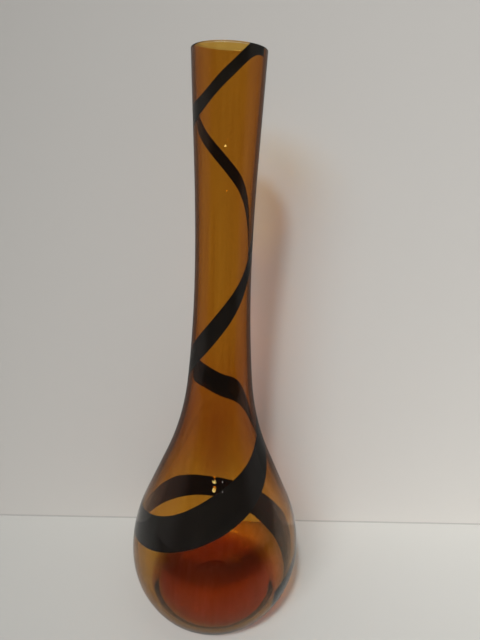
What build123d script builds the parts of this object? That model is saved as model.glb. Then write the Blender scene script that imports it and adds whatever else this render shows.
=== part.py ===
from build123d import *
import math
import os

# Glass vase: a tall bottle form in three layers of hot-worked glass.
# A clear outer gather carries the foot, an amber bubble lines it from the lip
# to the thick bottom, and a black trail winds three turns round the bubble,
# pressed flush into it before the clear glass went over both.
# Millimetres, +Z up, origin at the middle of the foot, front at -Y.

# Overall sizes
height = 600.0
belly_diameter = 195.4
belly_height = 68.7
waist_diameter = 56.7
waist_height = 413.9
lip_diameter = 68.2

# Width at the hip, where the straight lines of shoulder and neck would cross
hip_corner_diameter = 78.5

# The shallow ground hollow in the foot, which glassworkers call a punt
punt_diameter = 62.0
punt_depth = 4.0
punt_edge_radius = 1.5

# Rounding of the lip by the last fire polish
lip_outer_rounding = 1.4
lip_inner_rounding = 1.5

# Glass thickness
clear_at_lip = 1.5
clear_at_waist = 1.6
clear_at_hip = 2.2
clear_at_belly = 3.6
clear_at_bottom = 7.5
amber_at_lip = 2.1
amber_at_waist = 2.0
amber_at_hip = 2.6
amber_at_belly = 1.4
amber_at_bottom = 4.5

# Black trail, followed from the lip down
trail_start_angle = -46.5
trail_turns = 3.0
trail_depth = 0.9
trail_widest = 48.0
sections_per_turn = 20
cut_overrun = 3.0

# Outline, drawn on straight lines whose corners are rounded by arcs: how far up
# from belly to waist the first three corners lie, and from waist to lip the last
shoulder_corner_share = 0.0927
hip_corner_share = 0.4806
neck_corner_share = 0.8100
flare_corner_share = 0.238
# Rounding between bottom and bowl, as shares of the depth below the belly
foot_corner_share = 0.118
amber_corner_share = 0.30
floor_corner_share = 0.35
# Trail: middle of the band at every eighth of a turn, as shares of the height,
# and how tall the band stands there, as shares of its widest
trail_height_shares = (
    0.996, 0.960, 0.922, 0.901, 0.871, 0.837, 0.795, 0.723,
    0.648, 0.593, 0.543, 0.498, 0.463, 0.432, 0.420, 0.370,
    0.313, 0.265, 0.212, 0.175, 0.155, 0.125, 0.108, 0.102,
    0.083, 0.070,
)
trail_width_shares = (
    0.254, 0.254, 0.275, 0.375, 0.304, 0.323, 0.375, 0.438,
    0.500, 0.583, 0.604, 0.604, 0.604, 0.646, 0.688, 0.750,
    0.812, 0.875, 0.750, 0.708, 0.833, 0.708, 0.958, 1.000,
    0.542, 0.208,
)
stops_per_turn = 8


def smooth_value(table, place):
    """Value of a table of evenly spaced stops at a place between two of them."""
    last = len(table) - 1
    stop = min(int(place), last - 1)
    part = place - stop
    before = table[max(stop - 1, 0)]
    start = table[stop]
    end = table[stop + 1]
    after = table[min(stop + 2, last)]
    curve = 2 * before - 5 * start + 4 * end - after
    twist = 3 * (start - end) + after - before
    return start + part * ((end - before) + part * (curve + part * twist)) / 2


def bend(start, corner, target):
    """Arc that leaves a point towards a corner and turns into the line on to the target."""
    reach = (corner - start).length
    end = corner + (target - corner).normalized() * reach
    return TangentArc(start, end, tangent=corner - start)


def vessel_surface(insets, bottom_level, corner_share):
    """Everything inside one glass surface, filled to the axis and cut at the lip.

    The insets are how far it lies inside the outer surface at belly, hip, waist and lip.
    """
    belly_inset, hip_inset, waist_inset, lip_inset = insets
    belly = Vector(belly_diameter / 2 - belly_inset, belly_height)
    waist = Vector(waist_diameter / 2 - waist_inset, waist_height)
    rise = waist_height - belly_height
    shoulder_corner = belly + Vector(0, rise * shoulder_corner_share)
    hip = Vector(hip_corner_diameter / 2 - hip_inset, belly_height + rise * hip_corner_share)
    neck_corner = Vector(waist.X, belly_height + rise * neck_corner_share)
    flare_corner = waist + Vector(0, (height - waist_height) * flare_corner_share)
    lip = Vector(lip_diameter / 2 - lip_inset, height)

    depth = belly_height - bottom_level
    corner_radius = depth * corner_share
    corner_drop = depth - corner_radius
    flat = Vector(math.sqrt((belly.X - corner_radius) ** 2 - corner_drop ** 2), bottom_level)
    way_out = Vector(flat.X, -corner_drop).normalized()
    corner_arc = TangentArc(flat, Vector(0, belly_height) + way_out * belly.X, tangent=(1, 0))
    bowl_arc = TangentArc(corner_arc @ 1, belly, tangent=corner_arc % 1)

    shoulder_arc = bend(belly, shoulder_corner, hip)
    neck_arc = bend(waist, neck_corner, hip)
    hip_arc = bend(neck_arc @ 1, hip, shoulder_corner)
    slope = Line(shoulder_arc @ 1, hip_arc @ 1)
    flare_arc = bend(waist, flare_corner, lip)
    throat = Line(flare_arc @ 1, lip)
    outline = [corner_arc, bowl_arc, shoulder_arc, slope, hip_arc, neck_arc, flare_arc, throat]
    closing = Polyline(lip, (0, height), (0, bottom_level), flat)
    return revolve(Plane.XZ * make_face([*outline, closing]), Axis.Z)


def outer_form():
    """The whole outer shape of the vase, with no hollow."""
    return vessel_surface((0, 0, 0, 0), 0, foot_corner_share)


def amber_form(inset=0.0):
    """The amber bubble's outer shape, which the clear glass lies on, or a skin's depth in."""
    clear = (clear_at_belly, clear_at_hip, clear_at_waist, clear_at_lip)
    insets = [wall + inset for wall in clear]
    return vessel_surface(insets, clear_at_bottom + inset, amber_corner_share)


def inner_form():
    """The space that holds water and stems."""
    insets = (
        clear_at_belly + amber_at_belly,
        clear_at_hip + amber_at_hip,
        clear_at_waist + amber_at_waist,
        clear_at_lip + amber_at_lip,
    )
    return vessel_surface(insets, clear_at_bottom + amber_at_bottom, floor_corner_share)


def trail_section(turn):
    """Upright rectangle across the wall where the trail has made so many turns."""
    stop = stops_per_turn * turn
    middle = height * smooth_value(trail_height_shares, stop)
    tall = trail_widest * smooth_value(trail_width_shares, stop)
    angle = trail_start_angle - 360 * turn
    reach = belly_diameter / 2 + cut_overrun
    section = Plane(
        origin=(0, 0, middle),
        x_dir=(math.cos(math.radians(angle)), math.sin(math.radians(angle)), 0),
        z_dir=(-math.sin(math.radians(angle)), math.cos(math.radians(angle)), 0),
    )
    return section * Pos(reach / 2, 0) * Rectangle(reach - 2 * cut_overrun, tall)


def trail_groove():
    """Winding slab as deep as the trail is pressed in, which runs out past the amber."""
    count = round(trail_turns * sections_per_turn)
    sections = [trail_section(trail_turns * step / count) for step in range(-1, count + 1)]
    return loft(sections) - amber_form(trail_depth)


def punt():
    """The ground hollow under the foot."""
    radius = punt_diameter / 2
    dome_radius = (radius ** 2 + punt_depth ** 2) / (2 * punt_depth)
    return Pos(0, 0, punt_depth - dome_radius) * Sphere(dome_radius)


def rim_circle(shape, inset, level):
    """The round edge of a shape at a level, closest to a given inset from the lip."""
    radius = lip_diameter / 2 - inset
    circles = [
        edge for edge in shape.edges().filter_by(GeomType.CIRCLE)
        if abs(edge.arc_center.Z - level) < punt_edge_radius
    ]
    return min(circles, key=lambda edge: abs(edge.radius - radius))


def make_black_trail(groove):
    """One unbroken trail of black glass, flush with the amber it is pressed into."""
    return amber_form() & groove


def make_amber_bubble(groove):
    """The amber lining, thick at the bottom, with the trail's groove in its skin."""
    bubble = amber_form() - inner_form()
    mouth = rim_circle(bubble, clear_at_lip + amber_at_lip, height)
    return fillet(mouth, lip_inner_rounding) - groove


def make_clear_casing():
    """The clear outer gather from lip to foot, hollowed to take the bubble."""
    casing = outer_form() - amber_form() - punt()
    casing = fillet(rim_circle(casing, 0, height), lip_outer_rounding)
    return fillet(rim_circle(casing, (lip_diameter - punt_diameter) / 2, 0), punt_edge_radius)


def main():
    os.makedirs("parts", exist_ok=True)
    groove = trail_groove()
    parts = {
        "clear_casing": make_clear_casing(),
        "amber_bubble": make_amber_bubble(groove),
        "black_trail": make_black_trail(groove),
    }
    for name, shape in parts.items():
        export_step(shape, f"parts/{name}.step")
        print(name, "volume", round(shape.volume), "mm3,", len(shape.solids()), "solid")


if __name__ == "__main__":
    main()
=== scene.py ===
import math

import bmesh
import bpy
from bpy.props import FloatProperty, FloatVectorProperty, PointerProperty
from bpy.types import Operator, Panel, PropertyGroup
from mathutils import Matrix, Vector


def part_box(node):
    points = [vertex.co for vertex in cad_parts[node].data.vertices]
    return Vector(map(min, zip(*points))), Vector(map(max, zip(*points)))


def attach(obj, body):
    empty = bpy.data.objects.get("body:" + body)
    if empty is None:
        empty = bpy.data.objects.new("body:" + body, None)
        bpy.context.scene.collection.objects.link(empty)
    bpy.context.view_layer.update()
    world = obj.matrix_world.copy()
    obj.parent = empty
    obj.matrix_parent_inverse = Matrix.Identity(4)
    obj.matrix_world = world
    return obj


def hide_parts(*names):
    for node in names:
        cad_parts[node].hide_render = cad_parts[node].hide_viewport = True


bl_info = {
    "name": "Cased glass bottle vase",
    "version": (1, 0, 0),
    "blender": (4, 5, 0),
    "location": "3D View > Sidebar > Vase",
    "description": "Blown bottle vase: clear glass over an amber lining with a black trail between them",
    "category": "Add Mesh",
}

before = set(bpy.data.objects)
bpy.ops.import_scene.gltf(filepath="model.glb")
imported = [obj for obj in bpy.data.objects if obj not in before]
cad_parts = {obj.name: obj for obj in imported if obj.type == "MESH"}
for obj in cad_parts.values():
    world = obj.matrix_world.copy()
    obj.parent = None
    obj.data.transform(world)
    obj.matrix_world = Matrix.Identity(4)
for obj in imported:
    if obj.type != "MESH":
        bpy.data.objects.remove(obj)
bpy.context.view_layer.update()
casing_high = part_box("clear_casing")[1]

# Corners of the outline, as shares of the rise from belly to waist, and from waist to lip
SHOULDER_CORNER_SHARE = 0.0927
HIP_CORNER_SHARE = 0.4806
NECK_CORNER_SHARE = 0.81
FLARE_CORNER_SHARE = 0.238
# Rounding between bottom and bowl of the three surfaces, as shares of the depth below the belly
FOOT_CORNER_SHARE = 0.118
LINING_CORNER_SHARE = 0.30
FLOOR_CORNER_SHARE = 0.35

# The lining stops this far short of the cavity and of the lip, inside the wall
LINING_SKIN = 0.00012
LINING_LIP_GAP = 0.0014

# Steps round the axis, of each arc of an outline from the bottom up, of the ground hollow in the
# foot, and of each rounded edge
TURN_STEPS = 144
CORNER_STEPS = 14
BOWL_STEPS = 14
SHOULDER_STEPS = 14
HIP_STEPS = 12
NECK_STEPS = 8
FLARE_STEPS = 6
PUNT_STEPS = 8
ROUNDING_STEPS = 4

# Vertices closer than the first are one, and edges shorter than the second are taken out
MERGE_DISTANCE = 1e-6
SHORTEST_EDGE = 1e-7

# How strongly glass bends light, and millimetres in a metre for losses in each millimetre
GLASS_IOR = 1.5
MM_PER_METRE = 1000.0

# Glass and light without a tint
COLOURLESS = (1.0, 1.0, 1.0)

# Soft waves of the blown surface, drawn out along the axis
WAVE_NOISE = {"Scale": 26.0, "Detail": 1.0, "Roughness": 0.4}
WAVE_STRETCH = 0.35
WAVE_STRENGTH = 0.08
WAVE_RELIEF = 0.002

# Fine streaks in the clear glass, drawn out much further
STREAK_NOISE = {"Scale": 170.0, "Detail": 2.0, "Roughness": 0.5}
STREAK_STRETCH = 0.04
STREAK_SPAN = (0.35, 0.65)
STREAK_TINT = (0.93, 0.88, 0.82)

# Painted shade: a darker stripe down the front of the shoulder: its middle and half width, and where it
# fades in from the side of the vase, from above and from below
STRIPE_MIDDLE = -0.003
STRIPE_HALF = 0.026
STRIPE_FRONT = (-0.01, -0.03)
STRIPE_TOP = (0.33, 0.235)
STRIPE_FOOT = (0.185, 0.21)
STRIPE_SHADE_TINT = (0.76, 0.6, 0.82)

# Browner streaks in the black trail, and its finish under the clear glass
TRAIL_NOISE = {"Scale": 60.0, "Detail": 3.0}
TRAIL_BROWN = (0.006, 0.004, 0.003)
TRAIL_ROUGHNESS = 0.45
TRAIL_SPECULAR = 0.05

# Half the floor's width, and its gap under the foot, so that the two don't lie in one plane
FLOOR_HALF = 0.9
FLOOR_GAP = 0.0003
# Painted shade: it dims to the left and the front, the front counting a little more, down to a share
FLOOR_SLANT = 1.1
FLOOR_SPAN = (-0.5, 0.5)
FLOOR_DIM_SHARE = 0.57
# Mirrored rays meet the room's colour on it in front, and a share of that from the foot back
FLOOR_FRONT = (-0.04, -0.25)
FLOOR_FRONT_SHARE = 0.35

# The pale wall stands on the floor behind the vase
WALL_BACK = 0.1155
WALL_TURN = math.radians(-0.5)
WALL_HEIGHT = 1.3
# Painted shade: it dims to the top and the left, the left counting a little less, down to a share
WALL_SLANT = 0.92
WALL_SPAN = (-0.35, 0.95)
WALL_DIM_SHARE = 0.39
# Painted shade: height and darkness of the thin dark line in the corner where it meets the floor
SHADE_LINE_HEIGHT = 0.0022
SHADE_LINE_SHARE = 0.3
SHADE_LINE_COLOUR = (0.2, 0.2, 0.2)
# Mirrored rays meet a dim share of its colour above its base
WALL_BASE = (0.0, 0.12)
WALL_MIRRORED_SHARE = 0.25
# Rays seen through glass meet this share of the backdrop's own light, dimmer at the top
GLOW_SHARE = 0.75
GLOW_DIM_SHARE = 0.7

# Parts of a ray's direction at which the room in front ends and the ceiling begins, and how
# bright the rest of the room is in reflections, as a share of the backdrop
ROOM_EDGE = (-0.7, -0.3)
CEILING_EDGE = (0.35, 0.8)
SIDES_SHARE = 0.35

# Glossy Depth counts whole bounces, so this tells none from one
FIRST_BOUNCE = 0.5

# Lamps: places, sizes across and up, and the level on the vase that they point at
KEY_PLACE = Vector((-0.386, -1.120, 2.071))
KEY_SIZE = (0.20, 0.20)
SIDE_PLACE = Vector((-0.862, -1.379, 1.73))
SIDE_SIZE = (0.9, 0.6)
WINDOW_PLACE = Vector((-0.172, -1.967, 0.4885))
WINDOW_SIZE = (0.22, 0.017)
WINDOW_COLOUR = (1.0, 0.72, 0.2)
FAR_WINDOW_PLACE = Vector((0.360, -1.941, 0.4865))
FAR_WINDOW_SIZE = (0.014, 0.02)
FAR_WINDOW_SHARE = 0.05
LAMP_AIM = Vector((0, 0, 0.2))

# Camera, fitted to the silhouette; its sensor spans the picture's height
CAMERA_PLACE = Vector((0.0, -0.4788, 0.5055))
CAMERA_YAW = math.radians(2.27)
CAMERA_PITCH = math.radians(17.97)
CAMERA_ROLL = math.radians(2.37)
FOCAL_PIXELS = 485.0
IMAGE_HEIGHT = 640.0
SENSOR_MM = 36.0
CLIP_START = 0.01


class VaseForm(PropertyGroup):
    """Sizes of the vase, in metres."""

    height: FloatProperty(
        name="Height", description="Foot to lip", default=casing_high.z, unit="LENGTH")
    belly_radius: FloatProperty(
        name="Belly radius", description="Widest radius", default=casing_high.x, unit="LENGTH")
    belly_height: FloatProperty(
        name="Belly height", description="Level of the widest place", default=0.0687, unit="LENGTH")
    waist_radius: FloatProperty(
        name="Waist radius", description="Narrowest radius", default=0.02835, unit="LENGTH")
    waist_height: FloatProperty(
        name="Waist height", description="Level of the narrowest place", default=0.4139,
        unit="LENGTH")
    lip_radius: FloatProperty(
        name="Lip radius", description="Outer radius at the lip", default=0.0341, unit="LENGTH")
    hip_radius: FloatProperty(
        name="Hip radius", description="Radius where the lines of shoulder and neck cross",
        default=0.03925, unit="LENGTH")
    punt_radius: FloatProperty(
        name="Punt radius", description="Radius of the ground hollow in the foot", default=0.031,
        unit="LENGTH")
    punt_depth: FloatProperty(
        name="Punt depth", description="Depth of the ground hollow", default=0.004, unit="LENGTH")
    rounding: FloatProperty(
        name="Rounding", description="How far the edges of lip and hollow are rounded back",
        default=0.0014, unit="LENGTH")


class VaseGlass(PropertyGroup):
    """Thickness and colour of the layers of glass."""

    clear_walls: FloatVectorProperty(
        name="Clear glass", description="Thickness at bottom, belly, hip, waist and lip", size=5,
        default=(0.0090, 0.0036, 0.0022, 0.0016, 0.0015), unit="LENGTH")
    amber_walls: FloatVectorProperty(
        name="Amber glass", description="Thickness at bottom, belly, hip, waist and lip", size=5,
        default=(0.0030, 0.0014, 0.0026, 0.0020, 0.0021), unit="LENGTH")
    amber_loss: FloatVectorProperty(
        name="Amber loss", description="Red, green and blue light lost in each millimetre", size=3,
        default=(0.175, 0.41, 1.22))
    clear_loss: FloatVectorProperty(
        name="Clear loss", description="Red, green and blue light lost in each millimetre", size=3,
        default=(0.0030, 0.0024, 0.0032))
    black: FloatVectorProperty(
        name="Trail", description="Colour of the black trail", subtype="COLOR", size=3,
        default=(0.003, 0.0025, 0.002))


class VaseStage(PropertyGroup):
    """Colours and lamps of the stage."""

    backdrop: FloatVectorProperty(
        name="Backdrop", description="Light that is seen all round, also through the glass",
        subtype="COLOR", size=3, default=(0.69, 0.645, 0.61))
    wall: FloatVectorProperty(
        name="Wall", description="Paint of the wall behind the vase", subtype="COLOR", size=3,
        default=(0.80, 0.775, 0.735))
    floor: FloatVectorProperty(
        name="Floor", description="Paint of the floor", subtype="COLOR", size=3,
        default=(0.69, 0.685, 0.65))
    room: FloatVectorProperty(
        name="Room", description="Dim room in front, which the glass reflects", subtype="COLOR",
        size=3, default=(0.08, 0.075, 0.07))
    sky: FloatProperty(
        name="Soft light", description="Strength of the light from all round", default=0.30)
    ceiling: FloatProperty(
        name="Ceiling", description="Strength of the light from overhead", default=0.45)
    key_power: FloatProperty(
        name="Key lamp", description="Power of the lamp overhead", default=22.0, unit="POWER")
    side_power: FloatProperty(
        name="Side lamp", description="Power of the large soft lamp on the left", default=20.0,
        unit="POWER")
    window_power: FloatProperty(
        name="Window", description="Power of the small bright window in front", default=0.15,
        unit="POWER")


class Shade:
    """A shader socket that adds Math nodes when it is used in an expression."""

    def __init__(self, tree, socket):
        self.tree = tree
        self.socket = socket

    def __add__(self, other):
        return self.tree.maths("ADD", self, other)

    __radd__ = __add__

    def __mul__(self, other):
        return self.tree.maths("MULTIPLY", self, other)

    __rmul__ = __mul__

    def __sub__(self, other):
        return self.tree.maths("SUBTRACT", self, other)

    def __rsub__(self, other):
        return self.tree.maths("SUBTRACT", other, self)

    def __gt__(self, other):
        return self.tree.maths("GREATER_THAN", self, other)

    def __lt__(self, other):
        return self.tree.maths("LESS_THAN", self, other)

    def __abs__(self):
        return self.tree.maths("ABSOLUTE", self)


class NodeTree:
    """Nodes of one material or world."""

    # The colours among the Mix node's sockets, whose names its numbers and vectors share
    FIRST_COLOUR = 6
    LAST_COLOUR = 7
    MIXED_COLOUR = 2

    def __init__(self, owner):
        owner.use_nodes = True
        self.nodes = owner.node_tree.nodes
        self.links = owner.node_tree.links
        self.nodes.clear()

    def add(self, kind, settings=None, inputs=None, output=0):
        """Add a node, apply its settings, fill its inputs and give back one output."""
        node = self.nodes.new(kind)
        for name, value in (settings or {}).items():
            setattr(node, name, value)
        for key, value in (inputs or {}).items():
            socket = node.inputs[key]
            if isinstance(value, Shade):
                self.links.new(value.socket, socket)
            else:
                socket.default_value = value
        return Shade(self, node.outputs[output]) if node.outputs else node

    def other(self, shade, output):
        """Another output of the node that a value came from."""
        return Shade(self, shade.socket.node.outputs[output])

    def maths(self, operation, *values):
        """A Math node's result for one value or two."""
        return self.add("ShaderNodeMath", {"operation": operation}, dict(enumerate(values)))

    def ramp(self, value, span, least=0.0, smooth=False):
        """The least share at the start of a span, and 1 at its end."""
        return self.add(
            "ShaderNodeMapRange", {"interpolation_type": "SMOOTHSTEP" if smooth else "LINEAR"},
            {"Value": value, "From Min": span[0], "From Max": span[1], "To Min": least})

    def mix(self, share, first, last):
        """One colour turned into another by a share."""
        ends = [end if isinstance(end, Shade) else (*end, 1) for end in (first, last)]
        return self.add(
            "ShaderNodeMix", {"data_type": "RGBA"},
            {"Factor": share, self.FIRST_COLOUR: ends[0], self.LAST_COLOUR: ends[1]},
            output=self.MIXED_COLOUR)

    def blend(self, share, first, last):
        """One surface turned into another by a share."""
        return self.add("ShaderNodeMixShader", inputs={0: share, 1: first, 2: last})

    def place(self):
        """Object coordinates."""
        return self.add("ShaderNodeTexCoord", output="Object")

    def split(self, vector):
        """The x, y and z of a vector."""
        x = self.add("ShaderNodeSeparateXYZ", inputs={"Vector": vector})
        return x, self.other(x, "Y"), self.other(x, "Z")


def sort_rays(tree):
    """Camera rays, rays that were mirrored on their way, and rays seen straight through glass."""
    seen = tree.add("ShaderNodeLightPath", output="Is Camera Ray")
    glass = tree.other(seen, "Is Glossy Ray")
    mirrored = glass * (tree.other(seen, "Glossy Depth") > FIRST_BOUNCE)
    return seen, mirrored, glass - mirrored


def dimmed(colour, share):
    """A share of a colour."""
    return [share * part for part in colour]


def new_material(name):
    """A material and its empty tree of nodes."""
    material = bpy.data.materials.new(name)
    return material, NodeTree(material)


def finish_glass(tree, surface, loss):
    """Give a material its surface, if it has one, and a volume that takes light away."""
    strongest = max(loss)
    volume = tree.add("ShaderNodeVolumeAbsorption", inputs={
        "Color": (*(1 - part / strongest for part in loss), 1),
        "Density": strongest * MM_PER_METRE})
    inputs = {"Volume": volume}
    if surface:
        inputs["Surface"] = surface
    tree.add("ShaderNodeOutputMaterial", inputs=inputs)


def drawn_noise(tree, place, stretch, noise):
    """Noise that is drawn out along the vase's axis."""
    drawn = tree.add("ShaderNodeMapping", inputs={"Vector": place, "Scale": (1, 1, stretch)})
    return tree.add("ShaderNodeTexNoise", inputs={"Vector": drawn, **noise})


def painted_shoulder_shade(tree, place):
    """Share of the stripe of painted shade at each place of the clear glass."""
    x, y, z = tree.split(place)
    across = tree.ramp(abs(x - STRIPE_MIDDLE), (STRIPE_HALF, 0.0), smooth=True)
    front = tree.ramp(y, STRIPE_FRONT)
    under_top = tree.ramp(z, STRIPE_TOP, smooth=True)
    over_foot = tree.ramp(z, STRIPE_FOOT, smooth=True)
    return across * front * under_top * over_foot


def clear_glass(glass):
    """Clear casing glass with blown waves, fine streaks and a stripe of painted shade on the shoulder.
    """
    material, tree = new_material("Clear casing glass")
    place = tree.place()
    waves = drawn_noise(tree, place, WAVE_STRETCH, WAVE_NOISE)
    bump = tree.add("ShaderNodeBump", inputs={
        "Strength": WAVE_STRENGTH, "Distance": WAVE_RELIEF, "Height": waves})
    streaks = drawn_noise(tree, place, STREAK_STRETCH, STREAK_NOISE)
    streaked = tree.mix(tree.ramp(streaks, STREAK_SPAN), COLOURLESS, STREAK_TINT)
    # Painted shade: the stripe darkens the glass's colour down the front of the shoulder
    tint = tree.mix(painted_shoulder_shade(tree, place), streaked, STRIPE_SHADE_TINT)
    surface = tree.add("ShaderNodeBsdfPrincipled", inputs={
        "Base Color": tint, "Roughness": 0.0, "IOR": GLASS_IOR, "Transmission Weight": 1.0,
        "Normal": bump})
    finish_glass(tree, surface, glass.clear_loss)
    return material


def amber_glass(glass):
    """Amber colour through the depth of the lining, with no surface inside the wall."""
    material, tree = new_material("Amber lining glass")
    finish_glass(tree, None, glass.amber_loss)
    return material


def black_glass(glass):
    """Dense black glass, a little browner in streaks along the trail."""
    material, tree = new_material("Black trail glass")
    streaks = tree.add("ShaderNodeTexNoise", inputs={"Vector": tree.place(), **TRAIL_NOISE})
    surface = tree.add("ShaderNodeBsdfPrincipled", inputs={
        "Base Color": tree.mix(streaks, glass.black, TRAIL_BROWN), "Roughness": TRAIL_ROUGHNESS,
        "IOR": GLASS_IOR, "Specular IOR Level": TRAIL_SPECULAR})
    tree.add("ShaderNodeOutputMaterial", inputs={"Surface": surface})
    return material


def floor_paint(stage):
    """Matt paint with painted shade, dimmer to the left and the front, and dim where glass mirrors it.
    """
    material, tree = new_material("Floor paint")
    mirrored = sort_rays(tree)[1]
    x, y, _ = tree.split(tree.place())
    # Painted shade: the floor's colour dims to the left and the front
    lit = tree.ramp(x + y * FLOOR_SLANT, FLOOR_SPAN)
    shaded_paint = tree.mix(lit, dimmed(stage.floor, FLOOR_DIM_SHARE), stage.floor)
    front = tree.ramp(y, FLOOR_FRONT, least=FLOOR_FRONT_SHARE)
    colour = tree.mix(mirrored * front, shaded_paint, stage.room)
    surface = tree.add("ShaderNodeBsdfDiffuse", inputs={"Color": colour})
    tree.add("ShaderNodeOutputMaterial", inputs={"Surface": surface})
    return material


def wall_paint(stage):
    """Matt paint with painted shade on the wall's front, and nothing at its back, so that it never hides
    the vase.
    """
    material, tree = new_material("Wall paint")
    mirrored, through = sort_rays(tree)[1:]
    x, _, height = tree.split(tree.place())
    # Painted shade: the wall's colour dims to the top and the left
    top = tree.ramp(height - x * WALL_SLANT, WALL_SPAN)
    shaded_paint = tree.mix(top, stage.wall, dimmed(stage.wall, WALL_DIM_SHARE))
    # Painted shade: a thin dark line in the corner where the wall meets the floor
    shade_lined = tree.mix((height < SHADE_LINE_HEIGHT) * SHADE_LINE_SHARE, shaded_paint, SHADE_LINE_COLOUR)
    above_base = tree.ramp(height, WALL_BASE)
    colour = tree.mix(mirrored * above_base, shade_lined, dimmed(stage.wall, WALL_MIRRORED_SHARE))
    paint = tree.add("ShaderNodeBsdfDiffuse", inputs={"Color": colour})
    bright = tree.mix(top, stage.backdrop, dimmed(stage.backdrop, GLOW_DIM_SHARE))
    glow = tree.add("ShaderNodeEmission", inputs={"Color": bright})
    front = tree.blend(through * GLOW_SHARE, paint, glow)
    open_air = tree.add("ShaderNodeBsdfTransparent")
    back = tree.add("ShaderNodeNewGeometry", output="Backfacing")
    surface = tree.blend(back, front, open_air)
    tree.add("ShaderNodeOutputMaterial", inputs={"Surface": surface})
    return material


def bend(bm, vert, corner, target, steps):
    """Carry a vertex round the arc that turns from its line to the corner into the next line."""
    first = (corner - vert.co).normalized()
    last = (target - corner).normalized()
    turn = math.atan2(first.z * last.x - first.x * last.z, first.dot(last))
    radius = (corner - vert.co).length / math.tan(turn / 2)
    centre = vert.co + Vector((first.z, 0, -first.x)) * radius
    return swing(bm, vert, centre, turn, steps)


def swing(bm, vert, centre, turn, steps):
    """Carry a vertex round a centre, leaving edges behind, and give back its last copy."""
    made = bmesh.ops.spin(
        bm, geom=[vert], cent=centre, axis=(0, 1, 0), angle=turn, steps=steps)
    return next(g for g in made["geom_last"] if isinstance(g, bmesh.types.BMVert))


def draw_line(bm, vert, end):
    """Extrude a vertex along a straight line and give back the new one."""
    new = bmesh.ops.extrude_vert_indiv(bm, verts=[vert])["verts"][0]
    new.co = end
    return new


def tangent_point(start, corner, target):
    """The place beyond a corner where an arc from the start runs into the line to the target."""
    return corner + (target - corner).normalized() * (corner - start).length


def draw_outline(bm, vert, form, insets, corner_share):
    """Draw one glass surface's outline from its flat bottom to the lip, and give back its end.

    The insets are how far it lies inside the outer surface at bottom, belly, hip, waist and lip.
    """
    bottom, belly_inset, hip_inset, waist_inset, lip_inset = insets
    belly = Vector((form.belly_radius - belly_inset, 0, form.belly_height))
    waist = Vector((form.waist_radius - waist_inset, 0, form.waist_height))
    lip = Vector((form.lip_radius - lip_inset, 0, form.height))
    rise = waist.z - belly.z
    shoulder_corner = belly + Vector((0, 0, rise * SHOULDER_CORNER_SHARE))
    hip = Vector((form.hip_radius - hip_inset, 0, belly.z + rise * HIP_CORNER_SHARE))
    neck_corner = Vector((waist.x, 0, belly.z + rise * NECK_CORNER_SHARE))
    flare_corner = waist + Vector((0, 0, (form.height - waist.z) * FLARE_CORNER_SHARE))

    # The bowl is part of a sphere, and a smaller arc leads from the flat bottom into it
    corner = (belly.z - bottom) * corner_share
    drop = belly.z - bottom - corner
    flat = math.sqrt((belly.x - corner) ** 2 - drop ** 2)
    slant = math.asin(drop / (belly.x - corner))
    vert = draw_line(bm, vert, (flat, 0, bottom))
    vert = swing(bm, vert, (flat, 0, bottom + corner), slant - math.pi / 2, CORNER_STEPS)
    vert = swing(bm, vert, (0, 0, belly.z), -slant, BOWL_STEPS)
    vert = bend(bm, vert, shoulder_corner, hip, SHOULDER_STEPS)
    neck_start = tangent_point(waist, neck_corner, hip)
    vert = draw_line(bm, vert, tangent_point(neck_start, hip, shoulder_corner))
    vert = bend(bm, vert, hip, neck_corner, HIP_STEPS)
    vert = bend(bm, vert, neck_corner, waist, NECK_STEPS)
    vert = bend(bm, vert, flare_corner, lip, FLARE_STEPS)
    return draw_line(bm, vert, lip)


def draw_cavity(bm, form, glass, skin=0.0):
    """Draw the inner surface's outline from the axis to the lip, a skin short of the cavity."""
    depths = [clear + amber - skin for clear, amber in zip(glass.clear_walls, glass.amber_walls)]
    middle = bm.verts.new((0, 0, depths[0]))
    return draw_outline(bm, middle, form, depths, FLOOR_CORNER_SHARE)


def turn_outline(bm):
    """Spin the outline right round and close it at the axis."""
    bmesh.ops.spin(
        bm, geom=bm.verts[:] + bm.edges[:], cent=(0, 0, 0), axis=(0, 0, 1),
        angle=2 * math.pi, steps=TURN_STEPS, use_merge=True)
    bmesh.ops.remove_doubles(bm, verts=bm.verts, dist=MERGE_DISTANCE)
    bmesh.ops.dissolve_degenerate(bm, edges=bm.edges, dist=SHORTEST_EDGE)
    bmesh.ops.recalc_face_normals(bm, faces=bm.faces)
    for face in bm.faces:
        face.smooth = True


def add_object(name, data):
    """Put a mesh, a lamp or a camera into the scene."""
    thing = bpy.data.objects.new(name, data)
    bpy.context.scene.collection.objects.link(thing)
    return thing


def make_piece(bm, name, material):
    """Make a drawn shape an object of one material."""
    mesh = bpy.data.meshes.new(name)
    bm.to_mesh(mesh)
    bm.free()
    mesh.materials.append(material)
    return add_object(name, mesh)


def make_lamp(name, place, size, power, colour=COLOURLESS):
    """An oval lamp that points at the vase."""
    lamp = bpy.data.lights.new(name, "AREA")
    lamp.shape = "ELLIPSE"
    lamp.size, lamp.size_y = size
    lamp.color = colour
    lamp.energy = power
    turn = (LAMP_AIM - place).to_track_quat("-Z", "Y").to_matrix().to_4x4()
    add_object(name, lamp).matrix_world = Matrix.Translation(place) @ turn


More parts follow.
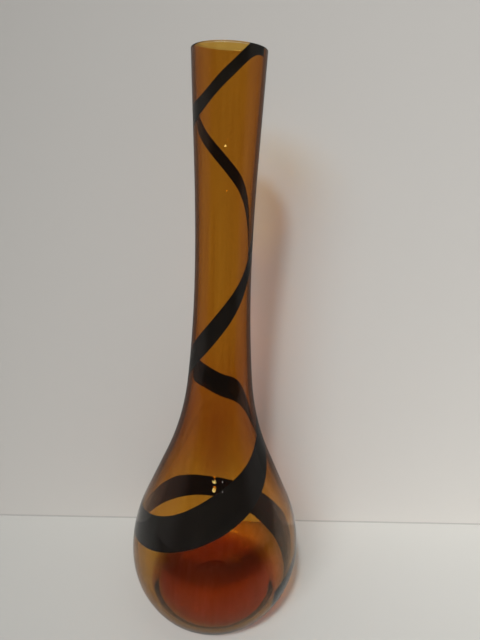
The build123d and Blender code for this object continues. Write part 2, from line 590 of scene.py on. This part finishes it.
class VASE_OT_glass_wall(Operator):
    """Blow the whole glass wall, from foot to lip"""

    bl_idname = "vase.glass_wall"
    bl_label = "Glass wall"

    def execute(self, context):
        form = context.scene.vase_form
        glass = context.scene.vase_glass
        bm = bmesh.new()
        dome = (form.punt_radius ** 2 + form.punt_depth ** 2) / (2 * form.punt_depth)
        opening = math.asin(form.punt_radius / dome)
        top = bm.verts.new((0, 0, form.punt_depth))
        rim = swing(bm, top, (0, 0, form.punt_depth - dome), opening, PUNT_STEPS)
        outer = draw_outline(bm, rim, form, (0, 0, 0, 0, 0), FOOT_CORNER_SHARE)
        inner = draw_cavity(bm, form, glass)
        bm.edges.new((outer, inner))
        bmesh.ops.bevel(
            bm, geom=[rim, outer, inner], offset=form.rounding, affect="VERTICES",
            segments=ROUNDING_STEPS, profile=0.5, material=-1)
        turn_outline(bm)
        piece = make_piece(bm, "glass_wall", clear_glass(glass))
        piece.visible_shadow = False
        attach(piece, "root")
        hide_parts("clear_casing")
        return {"FINISHED"}


class VASE_OT_amber_lining(Operator):
    """Line the wall with amber glass, thick at the bottom"""

    bl_idname = "vase.amber_lining"
    bl_label = "Amber lining"

    def execute(self, context):
        form = context.scene.vase_form
        glass = context.scene.vase_glass
        bm = bmesh.new()
        under = bm.verts.new((0, 0, glass.clear_walls[0]))
        outer = draw_outline(bm, under, form, glass.clear_walls, LINING_CORNER_SHARE)
        inner = draw_cavity(bm, form, glass, LINING_SKIN)
        for vert in (outer, inner):
            vert.co.z -= LINING_LIP_GAP
        bm.edges.new((outer, inner))
        turn_outline(bm)
        piece = make_piece(bm, "amber_lining", amber_glass(glass))
        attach(piece, "root")
        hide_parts("amber_bubble")
        return {"FINISHED"}


class VASE_OT_black_trail(Operator):
    """Give the trail its black glass"""

    bl_idname = "vase.black_trail"
    bl_label = "Black trail"

    def execute(self, context):
        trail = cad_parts["black_trail"]
        trail.data.materials.clear()
        trail.data.materials.append(black_glass(context.scene.vase_glass))
        return {"FINISHED"}


class VASE_OT_stage(Operator):
    """Set out the floor, the wall, the backdrop, the lamps and the camera"""

    bl_idname = "vase.stage"
    bl_label = "Stage"

    def execute(self, context):
        stage = context.scene.vase_stage
        self.make_floor(stage)
        self.make_wall(stage)
        self.make_backdrop(context, stage)
        make_lamp("Key lamp", KEY_PLACE, KEY_SIZE, stage.key_power)
        make_lamp("Side lamp", SIDE_PLACE, SIDE_SIZE, stage.side_power)
        make_lamp("Window", WINDOW_PLACE, WINDOW_SIZE, stage.window_power, WINDOW_COLOUR)
        make_lamp(
            "Far window", FAR_WINDOW_PLACE, FAR_WINDOW_SIZE, stage.window_power * FAR_WINDOW_SHARE)
        self.make_camera(context)
        return {"FINISHED"}

    def make_floor(self, stage):
        bm = bmesh.new()
        bmesh.ops.create_grid(bm, x_segments=1, y_segments=1, size=FLOOR_HALF)
        bmesh.ops.translate(bm, vec=(0, 0, -FLOOR_GAP), verts=bm.verts)
        self.set_out(bm, "floor", floor_paint(stage))

    def make_wall(self, stage):
        bm = bmesh.new()
        bmesh.ops.create_grid(bm, x_segments=1, y_segments=1, size=1)
        bmesh.ops.scale(bm, vec=(FLOOR_HALF, WALL_HEIGHT / 2, 1), verts=bm.verts)
        bmesh.ops.rotate(bm, matrix=Matrix.Rotation(math.pi / 2, 3, "X"), verts=bm.verts)
        bmesh.ops.rotate(bm, matrix=Matrix.Rotation(WALL_TURN, 3, "Z"), verts=bm.verts)
        bmesh.ops.translate(
            bm, vec=(0, WALL_BACK, WALL_HEIGHT / 2 - FLOOR_GAP), verts=bm.verts)
        self.set_out(bm, "wall", wall_paint(stage))

    def set_out(self, bm, name, material):
        sheet = make_piece(bm, name, material)

    def make_backdrop(self, context, stage):
        """A pale backdrop to look at, a dim room in reflections and soft light for matt things."""
        world = bpy.data.worlds.new("Backdrop")
        context.scene.world = world
        tree = NodeTree(world)
        seen, mirrored, through = sort_rays(tree)
        _, ahead, up = tree.split(tree.add("ShaderNodeTexCoord", output="Generated"))
        beside = tree.ramp(ahead, ROOM_EDGE, smooth=True)
        overhead = tree.ramp(up, CEILING_EDGE, smooth=True)
        around = tree.mix(beside, stage.room, dimmed(stage.backdrop, SIDES_SHARE))
        reflected = tree.mix(overhead, around, [stage.ceiling] * 3)
        soft = tree.mix(overhead, [stage.sky] * 3, [stage.ceiling] * 3)
        lit = tree.mix(mirrored, soft, reflected)
        colour = tree.mix(seen + through, lit, stage.backdrop)
        background = tree.add("ShaderNodeBackground", inputs={"Color": colour})
        tree.add("ShaderNodeOutputWorld", inputs={"Surface": background})

    def make_camera(self, context):
        camera = bpy.data.cameras.new("Camera")
        camera.sensor_width = SENSOR_MM
        camera.lens = FOCAL_PIXELS / IMAGE_HEIGHT * SENSOR_MM
        camera.clip_start = CLIP_START
        holder = add_object("Camera", camera)
        turn = (
            Matrix.Rotation(-CAMERA_YAW, 3, "Z")
            @ Matrix.Rotation(math.pi / 2 - CAMERA_PITCH, 3, "X")
            @ Matrix.Rotation(CAMERA_ROLL, 3, "Z"))
        holder.matrix_world = Matrix.Translation(CAMERA_PLACE) @ turn.to_4x4()
        context.scene.camera = holder
        context.scene.view_settings.view_transform = "Standard"


class VASE_PT_sidebar(Panel):
    """Steps that make the vase, in order"""

    bl_label = "Glass vase"
    bl_space_type = "VIEW_3D"
    bl_region_type = "UI"
    bl_category = "Vase"

    def draw(self, context):
        for step in STEPS:
            self.layout.operator(step.bl_idname)


STEPS = (VASE_OT_stage, VASE_OT_glass_wall, VASE_OT_amber_lining, VASE_OT_black_trail)
CLASSES = (VaseForm, VaseGlass, VaseStage, *STEPS, VASE_PT_sidebar)


def register():
    for cls in CLASSES:
        bpy.utils.register_class(cls)
    bpy.types.Scene.vase_form = PointerProperty(type=VaseForm)
    bpy.types.Scene.vase_glass = PointerProperty(type=VaseGlass)
    bpy.types.Scene.vase_stage = PointerProperty(type=VaseStage)


def unregister():
    del bpy.types.Scene.vase_stage
    del bpy.types.Scene.vase_glass
    del bpy.types.Scene.vase_form
    for cls in reversed(CLASSES):
        bpy.utils.unregister_class(cls)


def main():
    register()
    bpy.ops.vase.stage()
    bpy.ops.vase.glass_wall()
    bpy.ops.vase.amber_lining()
    bpy.ops.vase.black_trail()


if __name__ == "__main__":
    main()
